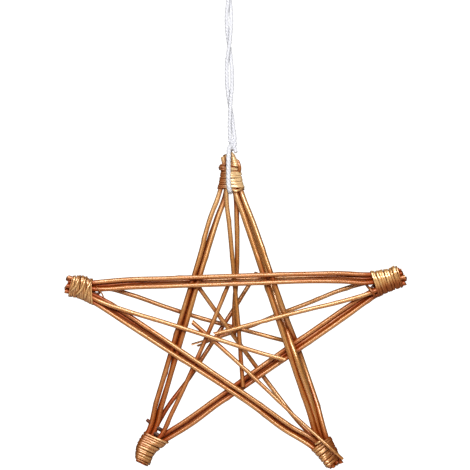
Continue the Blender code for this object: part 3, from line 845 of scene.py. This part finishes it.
# The last turns at the top point go round its right rods alone, up over their ends, and then its left
# ones. At each stop: how far out, the middle across, half the width, the middle back and half the depth
END_TURNS = {
    "right_hump": (
        (0.0215, 0.0042, 0.0042, 0.0005, 0.0066), (0.0270, 0.0030, 0.0033, 0.0005, 0.0060),
        (0.0305, 0.0019, 0.0021, 0.0000, 0.0046), (0.0345, 0.0008, 0.0007, 0.0000, 0.0024)),
    "left_lump": (
        (0.0184, -0.0064, 0.0035, 0.0000, 0.0062), (0.0215, -0.0066, 0.0037, 0.0000, 0.0060),
        (0.0243, -0.0058, 0.0032, 0.0000, 0.0052)),
}
END_PITCH = 0.0018
END_SLANT = -0.3
LOOSE_FLATNESS = 0.5
LOOSE_RINGS = 12
# Loose bits of skein: the points each runs through, how wide it is and its share of the paint, which leaves a
# bit dark when near nothing
LOOSE_BITS = {
    "top": (
        (((0.0122, 0.0010, -0.1878), (0.0114, -0.0044, -0.1890), (0.0079, -0.0085, -0.1909),
          (0.0040, -0.0092, -0.1914), (0.0028, -0.0080, -0.1900)), 0.0020, 1.0),
        (((0.0068, -0.0040, -0.1650), (0.0083, -0.0050, -0.1686), (0.0089, -0.0046, -0.1722),
          (0.0086, -0.0030, -0.1742)), 0.0031, 0.35)),
    "right": (
        (((0.1219, -0.0040, -0.2762), (0.1232, -0.0076, -0.2780), (0.1254, -0.0080, -0.2808),
          (0.1270, -0.0064, -0.2832), (0.1280, -0.0034, -0.2846)), 0.0025, 0.95),
        (((0.1184, -0.0020, -0.2702), (0.1198, -0.0030, -0.2734), (0.1216, -0.0030, -0.2760),
          (0.1232, -0.0020, -0.2776)), 0.0024, 0.1),
        (((0.1222, -0.0020, -0.2770), (0.1244, -0.0020, -0.2762), (0.1258, -0.0016, -0.2744)),
         0.0020, 0.15)),
    "lower_right": (
        (((0.0752, -0.0070, -0.4132), (0.0776, -0.0088, -0.4118), (0.0802, -0.0086, -0.4100)),
         0.0018, 1.0),),
    "lower_left": (
        # These two bits lie in shade; their small share paints them dark, as painted shade
        (((-0.0652, -0.0014, -0.3980), (-0.0620, -0.0024, -0.3999), (-0.0586, -0.0014, -0.4018)),
         0.0036, 0.05),
        (((-0.0668, -0.0020, -0.4034), (-0.0632, -0.0030, -0.4054), (-0.0600, -0.0030, -0.4078)),
         0.0038, 0.05)),
    "left": (
        (((-0.1252, -0.0030, -0.2670), (-0.1262, -0.0074, -0.2690), (-0.1294, -0.0086, -0.2774),
          (-0.1336, -0.0072, -0.2818), (-0.1350, -0.0030, -0.2826)), 0.0019, 1.0),
        (((-0.1306, -0.0030, -0.2668), (-0.1318, -0.0074, -0.2688), (-0.1346, -0.0084, -0.2750),
          (-0.1384, -0.0070, -0.2788), (-0.1398, -0.0030, -0.2798)), 0.0018, 1.0),
        (((-0.1204, -0.0030, -0.2690), (-0.1214, -0.0070, -0.2714), (-0.1250, -0.0086, -0.2792),
          (-0.1266, -0.0072, -0.2848), (-0.1272, -0.0030, -0.2860)), 0.0019, 1.0),
        # This loop in the crotch is drawn dark by its small share, as painted shade
        (((-0.1194, -0.0010, -0.2800), (-0.1186, -0.0016, -0.2780), (-0.1164, -0.0018, -0.2775),
          (-0.1140, -0.0016, -0.2788), (-0.1144, -0.0012, -0.2812), (-0.1170, -0.0010, -0.2817),
          (-0.1194, -0.0008, -0.2804)), 0.0025, 0.15),
        # A dark bit put where there is only shade between the rods: painted shade
        (((-0.1232, 0.0020, -0.2790), (-0.1206, 0.0022, -0.2796), (-0.1180, 0.0024, -0.2806)),
         0.0042, 0.1),
        (((-0.1168, -0.0028, -0.2747), (-0.1156, -0.0050, -0.2768), (-0.1138, -0.0048, -0.2788),
          (-0.1116, -0.0034, -0.2818), (-0.1098, -0.0022, -0.2868)), 0.0011, 0.9)),
}


class Round:
    """A plain round of rods to wind, with the same measures as a bore."""

    def __init__(self, stops):
        self.stops = np.array(stops)
        self.length = self.stops[-1, 0]

    def at(self, along, angle):
        across, half_width, middle, half_depth = (
            np.interp(along, self.stops[:, 0], self.stops[:, i]) for i in range(1, 5))
        reach = half_width * half_depth / np.hypot(half_depth * np.cos(angle), half_width * np.sin(angle))
        return reach, across, middle


BORE_ANGLES = 96
BORE_STEP = 0.0006
BORE_END = 0.002
SLICE_REACH = 0.0035
RAY_LENGTH = 0.03
# How many neighbours on each side the reach is evened out over
EVENED_OVER = 3


class Bore:
    """How far the wound rods reach from a binding's middle, all round it and all along it."""

    def __init__(self, name, slant):
        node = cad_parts[f"binding_{name}"]
        point = STAR_POINTS[name]
        places = coordinates(node)
        corners = [tuple(place) for place in places]
        tree = BVHTree.FromPolygons(corners, [tuple(face.vertices) for face in node.data.polygons])
        away = places - point.middle
        run = away @ point.along
        self.length = run.max()
        self.stops = np.arange(run.min(), self.length + BORE_STEP, BORE_STEP)
        middles = []
        # At each stop, rays go out from the middle all round
        reach = np.full((len(self.stops), BORE_ANGLES), np.nan)
        for i, stop in enumerate(self.stops):
            inside = np.clip(stop, run.min() + BORE_END, self.length - BORE_END)
            near = away[np.abs(run - inside) < SLICE_REACH]
            across = near @ point.across
            middle = ((across.min() + across.max()) / 2, (near[:, 1].min() + near[:, 1].max()) / 2)
            middles.append(middle)
            lean = slant * (1 - stop / self.length)
            origin = point.middle + stop * point.along + middle[0] * point.across
            origin = Vector(origin + np.array((0.0, middle[1], 0.0)))
            for j in range(BORE_ANGLES):
                angle = 2 * math.pi * j / BORE_ANGLES
                aside = (point.across + lean * point.along) * math.cos(angle)
                way = Vector(aside + np.array((0.0, math.sin(angle), 0.0)))
                hit = tree.ray_cast(origin, way.normalized(), RAY_LENGTH)
                if hit[0] is not None:
                    reach[i, j] = hit[3] / way.length
        # What a ray missed is taken from the stops beside it
        for j in range(BORE_ANGLES):
            known = ~np.isnan(reach[:, j])
            reach[:, j] = np.interp(self.stops, self.stops[known], reach[known, j])
        around = np.concatenate([reach[:, -EVENED_OVER:], reach, reach[:, :EVENED_OVER]], axis=1)
        count = 2 * EVENED_OVER + 1
        self.reach = sum(around[:, k:k + BORE_ANGLES] for k in range(count)) / count
        self.middles = np.array(middles)

    def at(self, along, angle):
        """The reach at each place along and round the binding, and the middle there."""
        # It stays short of the last stop, so that there is always a next one
        row = np.clip((along - self.stops[0]) / BORE_STEP, 0, len(self.stops) - 1.001)
        column = angle / (2 * math.pi) * BORE_ANGLES
        i, j = row.astype(int), column.astype(int) % BORE_ANGLES
        down, right = row - i, column - column.astype(int)
        k = (j + 1) % BORE_ANGLES
        near = self.reach[i, j] * (1 - down) + self.reach[i + 1, j] * down
        far = self.reach[i, k] * (1 - down) + self.reach[i + 1, k] * down
        across = np.interp(along, self.stops, self.middles[:, 0])
        depth = np.interp(along, self.stops, self.middles[:, 1])
        return near * (1 - right) + far * right, across, depth


def straight_coil(turns):
    """An even round coil of skein, flat inside and rounded outside, wound up the Z axis."""
    nothing_selected()
    bpy.ops.mesh.primitive_circle_add(
        vertices=SKEIN_SIDES, radius=0.5, location=(COIL_RADIUS, 0, 0), rotation=(math.pi / 2, 0, 0))
    coil = settled(bpy.context.object)
    bpy.ops.object.mode_set(mode="EDIT")
    bpy.ops.mesh.select_all(action="SELECT")
    bpy.ops.transform.resize(
        value=(2 * SKEIN_THICKNESS, 1.0, SKEIN_WIDTH), center_override=(COIL_RADIUS, 0, 0))
    bpy.ops.object.mode_set(mode="OBJECT")
    places = coordinates(coil)
    places[:, 0] = np.maximum(places[:, 0], COIL_RADIUS)
    set_coordinates(coil, places)
    wind = coil.modifiers.new("wind", "SCREW")
    wind.axis = "Z"
    wind.angle = 2 * math.pi
    wind.screw_offset = COIL_PITCH
    wind.iterations = turns
    wind.steps = wind.render_steps = COIL_STEPS
    apply_modifiers(coil)
    closed_ends(coil)
    return coil


def wound(name, bore, turns, slant, bulges, seed):
    """A skein, drawn in from an even coil onto the rods."""
    point = STAR_POINTS[name]
    coil = straight_coil(len(turns) - 1)
    places = coordinates(coil)
    # Where each point is on the strip: how many turns up it, how thick it is there and how far across
    angle = np.arctan2(places[:, 1], places[:, 0]) % (2 * math.pi)
    turned = angle / (2 * math.pi)
    turned += np.round(places[:, 2] / COIL_PITCH - turned)
    thick = np.maximum(np.hypot(places[:, 0], places[:, 1]) - COIL_RADIUS, 0.0)
    thick = SKEIN_THICKNESS * np.sqrt(thick / SKEIN_THICKNESS)
    wide = (places[:, 2] - turned * COIL_PITCH) / SKEIN_WIDTH
    # How far out from the binding's inner edge it lies, and how far it stands off the rods
    count = np.arange(len(turns))
    widths = np.minimum(SKEIN_OVERLAP * np.interp(turned, count, np.gradient(turns)), SKEIN_WIDEST)
    widths *= 1 + WIDTH_WAVER * np.sin(WIDTH_WAVE * turned + 2 * seed)
    along = np.interp(turned, count, turns) + wide * widths
    quick = QUICK_SHARE * np.sin(QUICK_WAVE * turned + 2 * seed)
    along += WANDER_ALONG * (np.sin(SLOW_WAVE * turned + seed) + quick)
    out = WANDER_OUT * (1 + np.sin(OUTWARD_WAVE * turned + 3 * seed))
    out += SKEIN_TILTS[name] * SKEIN_THICKNESS * (0.5 + wide)
    for place, degrees, height, reach_along, reach_round in bulges:
        apart = np.degrees(np.abs((angle - math.radians(degrees) + math.pi) % (2 * math.pi) - math.pi))
        out += height * np.exp(-((along - place) / reach_along) ** 2 - (apart / reach_round) ** 2)
    tuck = np.clip(1 - np.minimum(turned, count[-1] - turned) / TUCK_TURN, 0, 1) ** 2
    # Its place on the star
    reach, across, depth = bore.at(along, angle)
    radius = reach + thick + out - tuck * SKEIN_THICKNESS * TUCK_DEPTH
    aside = radius * np.cos(angle)
    lean = slant * np.clip(1 - along / bore.length, 0, 1) * aside
    laid = point.middle + np.outer(along + lean, point.along) + np.outer(across + aside, point.across)
    laid[:, 1] += depth + radius * np.sin(angle)
    set_coordinates(coil, laid)
    keep(coil, "straight", np.column_stack([wide * SKEIN_WIDEST + seed, thick, turned * TURN_LENGTH]))
    painted_share(coil, SKEIN_TONE_SHARES[name], SKEIN_TONE_SHARES[name])
    faced_outwards(coil)
    bpy.ops.object.shade_smooth_by_angle(angle=math.radians(SKEIN_EDGE))
    return coil


def loose_bit(route, width, share):
    """A short loose end of skein, a strip about half as thick as it is wide."""
    bend, length = route_curve(route)
    bit = round_bar(SKEIN_SIDES, width / 2, length, LOOSE_RINGS)
    remember_straight(bit)
    painted_share(bit, share, share)
    heights = np.round(coordinates(bit)[:, 2], DECIMALS)
    bent_along(bit, bend)
    places = coordinates(bit)
    for height in np.unique(heights):
        ring = heights == height
        depth = places[ring, 1]
        places[ring, 1] = depth.mean() + LOOSE_FLATNESS * (depth - depth.mean())
    set_coordinates(bit, places)
    only(bit)
    bpy.ops.object.shade_smooth_by_angle(angle=math.radians(SKEIN_EDGE))
    return bit


skeins = []
for seed, name in enumerate(STAR_POINTS):
    turns, slant, bulges = WINDINGS[name]
    bits = [wound(name, Bore(name, slant), turns, slant, bulges, seed)]
    if name == "top":
        for stops in END_TURNS.values():
            end_turns = np.arange(stops[0][0], stops[-1][0], END_PITCH)
            bits.append(wound(name, Round(stops), end_turns, END_SLANT, (), len(bits)))
    bits += [loose_bit(*bit) for bit in LOOSE_BITS[name]]
    skein = joined(f"skein_{name}", bits)
    skeins.append(skein)
    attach(skein, "root")
    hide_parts(f"binding_{name}")


# The paint. The bound star is painted all over by spraying, with metallic copper-gold paint. Down in the
# grooves between rods its colour is turned bark brown, which is painted shade.

# For the painted shade in the grooves: how far off the next surface has to be to leave a point open, how
# widely the rays lean out and how many ways they go
SHADE_RAY_REACH = 0.009
SHADE_RAY_LEAN = 0.9
SHADE_RAY_WAYS = 8
SHADE_RAY_START = 0.0001
# How often the painted shade is evened out between neighbouring points, on rods and on skeins
ROD_EVENED = 4
SKEIN_EVENED = 2
# How much painted shade darkens the star toward the lower left, and where it starts and is full
LOWER_LEFT_SHADE = 0.24
LOWER_LEFT_SHADE_FROM = 0.30
LOWER_LEFT_SHADE_TO = 0.46
# The way that the light falls on each skein, whose far side from it gets painted shade
LIGHT_FALLS_FROM = {
    "skein_top": (0.72, -0.69, 0.0), "skein_right": (-0.20, -0.50, 0.84),
    "skein_left": (0.15, -0.76, -0.10), "skein_lower_left": (0.40, -0.91, 0.10),
    "skein_lower_right": (-0.35, -0.90, 0.25),
}
# A skein's half width, the place across it where its painted shade starts, how quickly it darkens, and the
# least share left on its shaded far side
SKEIN_REACH = 0.010
SHADED_SIDE_FROM = 0.66
SHADED_SIDE_FALL = 1.4
SHADED_SIDE_LEAST = 0.10


def light_way_on(skein):
    """The middle of the point that a skein is wound on, and the way that the light falls on it, for its
    painted shade.
    """
    point = STAR_POINTS[skein.name.removeprefix("skein_")]
    along = Vector(point.along)
    way = Vector(LIGHT_FALLS_FROM[skein.name])
    return Vector(point.middle), way - along * way.dot(along)


def openness(tree, point):
    """How open a point is, for the painted shade in the grooves: 0 in a deep groove, 1 in the open."""
    normal = point.normal
    side = normal.orthogonal().normalized()
    other = normal.cross(side)
    ways = [normal]
    for i in range(SHADE_RAY_WAYS):
        turn = 2 * math.pi * i / SHADE_RAY_WAYS
        lean = side * math.cos(turn) + other * math.sin(turn)
        ways.append((normal + SHADE_RAY_LEAN * lean).normalized())
    start = point.co + normal * SHADE_RAY_START
    return sum(tree.ray_cast(start, way, SHADE_RAY_REACH)[0] is None for way in ways) / len(ways)


def evened_out(piece, values, times):
    """Evens values out between a piece's neighbouring points."""
    edges = np.empty(len(piece.data.edges) * 2, int)
    piece.data.edges.foreach_get("vertices", edges)
    edges = edges.reshape(-1, 2)
    around = np.bincount(edges.ravel(), minlength=len(values))
    for _ in range(times):
        total = np.zeros(len(values))
        np.add.at(total, edges[:, 0], values[edges[:, 1]])
        np.add.at(total, edges[:, 1], values[edges[:, 0]])
        values = (values + total) / (1 + around)
    return values


def shade_painted_on(rods, skeins):
    """Keeps on each piece's points its share of the paint, darkened by painted shade in the grooves, on each
    skein's far side and toward the lower left.
    """
    corners = []
    faces = []
    for piece in rods + skeins:
        first = len(corners)
        corners += [tuple(place) for place in coordinates(piece)]
        faces += [tuple(first + i for i in face.vertices) for face in piece.data.polygons]
    tree = BVHTree.FromPolygons(corners, faces)
    for piece in rods + skeins:
        lit_side = light_way_on(piece) if piece in skeins else None
        shares = piece.data.attributes["paint_and_light_share"].data
        shaded_shares = []
        for point in piece.data.vertices:
            # Painted shade toward the lower left
            toward_left = (-point.co.x - point.co.z - LOWER_LEFT_SHADE_FROM) / (LOWER_LEFT_SHADE_TO - LOWER_LEFT_SHADE_FROM)
            share = shares[point.index].value * (1 - LOWER_LEFT_SHADE * min(max(toward_left, 0.0), 1.0))
            if lit_side:
                middle, way = lit_side
                # Painted shade on each skein's side away from the light
                facing = (point.co - middle).dot(way) / SKEIN_REACH
                share *= max(1 - SHADED_SIDE_FALL * max(SHADED_SIDE_FROM - facing, 0.0), SHADED_SIDE_LEAST)
            # Points down in grooves keep less of their share: painted shade
            shaded_shares.append(share * openness(tree, point))
        times = SKEIN_EVENED if piece in skeins else ROD_EVENED
        keep(piece, "paint_and_shade", evened_out(piece, np.array(shaded_shares), times))


# Where its share is highest the paint turns pale gold, a painted highlight; near no share it turns dark bark,
# bare on the twig stub and painted shade on some loose bits
PAINTED_HIGHLIGHT_GOLD = (0.95, 0.67, 0.37)
DARK_BARK_AND_SHADE = (0.050, 0.024, 0.018)
# The shares at which the pale gold painted highlight starts and is full, and those below which the colour
# turns dark
HIGHLIGHT_SHARES = (1.1, 1.4)
HIGHLIGHT_MOST = 0.85
DARK_BARK_AND_SHADE_SHARE = 0.35
# The paint's streaks, its patches of wear and its finest grain, drawn out along the rod
STREAK_STRETCH = (1.0, 1.0, 30.0)
STREAK_SIZE = 0.0009
PATCH_STRETCH = (1.0, 1.0, 9.0)
PATCH_SIZE = 0.0045
FINE_SIZE = 0.00040


def painted_willow_finish(name, shade_lifts, shaded_bark, thin, full, bright):
    """Willow bark under metallic paint, streaked along the rod, with painted shade that turns it bark brown
    in the grooves.
    """
    finish = Finish(name, Coat_Roughness=0.17, Coat_IOR=1.7)
    place = finish.kept("straight", 1)
    reach = finish.kept("paint_and_shade", 2)
    share = finish.kept("paint_and_light_share", 2)
    streaks = finish.grain(place, STREAK_STRETCH, STREAK_SIZE, detail=3.0, roughness=0.6)
    patches = finish.grain(place, PATCH_STRETCH, PATCH_SIZE)
    fine = finish.grain(place, STREAK_STRETCH, FINE_SIZE)
    paint = finish.ramp(streaks, low=0.35, high=0.66)
    # The patches of wear also lean to the thin colour in the grooves, as painted shade
    worn_and_shade = finish.ramp(patches + 0.35 * reach, low=0.50, high=0.80, first=0.3)
    # Painted shade: down in the grooves the colour goes to the shaded bark colour
    lit_cover = finish.ramp(reach + 0.20 * streaks, *shade_lifts)
    # thick is the share of the pale gold painted highlight, on the top point's skein and the rods near it
    thick = finish.ramp(share, *HIGHLIGHT_SHARES, last=HIGHLIGHT_MOST)
    # Painted shade and bare bark: near no share the colour goes dark
    dark_bark_and_shade = finish.ramp(share, low=0.0, high=DARK_BARK_AND_SHADE_SHARE, first=1.0, last=0.0)
    body = finish.mixed(worn_and_shade, thin, finish.mixed(paint, full, bright))
    body = finish.mixed(thick, body, PAINTED_HIGHLIGHT_GOLD)
    finish.to("Base Color", finish.mixed(dark_bark_and_shade, finish.mixed(lit_cover, shaded_bark, body), DARK_BARK_AND_SHADE))
    # Paint shines more out of the grooves' painted shade than in it, and less where the pale gold painted
    # highlight is
    finish.to("Metallic", 0.20 + 0.24 * lit_cover - 0.30 * thick)
    finish.to("Roughness", 0.40 + 0.06 * fine - 0.10 * lit_cover)
    finish.to("Coat Weight", 0.90 * lit_cover - 0.40 * thick)
    finish.relief(streaks * 0.7 + fine * 0.3, strength=0.06, distance=0.0002)
    return finish.material


# Each paint: the open reach at which its painted shade starts to lift and is gone, then its colours in that
# painted shade, thin, full and bright
copper_paint = painted_willow_finish(
    "copper_gold_paint", (0.45, 1.0),
    (0.35, 0.064, 0.002), (0.44, 0.127, 0.010), (0.55, 0.218, 0.042), (0.66, 0.355, 0.14))
gold_paint = painted_willow_finish(
    "gold_skein_paint", (0.15, 0.75),
    (0.27, 0.062, 0.006), (0.49, 0.176, 0.032), (0.68, 0.335, 0.105), (0.84, 0.54, 0.25))
shade_painted_on(rods, skeins)
for rod in rods:
    rod.data.materials[0] = copper_paint
for skein in skeins:
    skein.data.materials.append(gold_paint)


# The studio. A plain pale floor well below the hanging star, bright white all round as the camera sees
# it, a broad soft light in front of the star's face, weaker ones to its left and above, and one behind.
FLOOR_HEIGHT = -0.95
FLOOR_SIZE = 5.0
# Each light's place, its width and height, and its power
LIGHTS = {
    "key": ((0.15, -2.1, 0.45), (2.0, 0.45), 32.0),
    "fill": ((-1.3, -1.7, 0.5), (0.9, 0.9), 3.0),
    "overhead": ((0.0, -1.0, 0.9), (0.9, 0.6), 8.5),
    "behind": ((-0.2, 2.4, 0.9), (2.2, 1.6), 9.0),
}
STAR_MIDDLE = Vector((0.005, 0.0, -0.30))
FLOOR_COLOUR = (0.86, 0.86, 0.85, 1.0)
# What lights the star from all round is warm and dim, and what the camera sees there is plain white
SURROUNDINGS = ((1.0, 0.98, 0.96, 1.0), 0.06)
BACKGROUND = ((1.0, 1.0, 1.0, 1.0), 1.0)

nothing_selected()
bpy.ops.mesh.primitive_plane_add(size=FLOOR_SIZE, location=(0, 0, FLOOR_HEIGHT))
floor = settled(bpy.context.object)
floor.name = "floor"
pale = Finish("pale_floor", Base_Color=FLOOR_COLOUR, Roughness=0.7)
floor.data.materials.append(pale.material)

for name, (place, size, power) in LIGHTS.items():
    panel = bpy.data.lights.new(name, "AREA")
    panel.shape = "RECTANGLE"
    panel.size, panel.size_y = size
    panel.energy = power
    lamp = bpy.data.objects.new(name, panel)
    lamp.location = place
    lamp.rotation_euler = (STAR_MIDDLE - Vector(place)).to_track_quat("-Z", "Y").to_euler()
    bpy.context.scene.collection.objects.link(lamp)

world = bpy.data.worlds.new("studio")
world.use_nodes = True
bpy.context.scene.world = world
sky = Nodes(world.node_tree)
seen = sky.add("ShaderNodeLightPath", output="Is Camera Ray")
dim = sky.add("ShaderNodeBackground", {}, dict(enumerate(SURROUNDINGS)))
white = sky.add("ShaderNodeBackground", {}, dict(enumerate(BACKGROUND)))
either = sky.add("ShaderNodeMixShader", {}, {0: seen, 1: dim, 2: white})
sky.tree.links.new(either.socket, sky.tree.nodes["World Output"].inputs["Surface"])
bpy.context.scene.view_settings.view_transform = "Standard"
bpy.context.scene.view_settings.look = "Medium High Contrast"
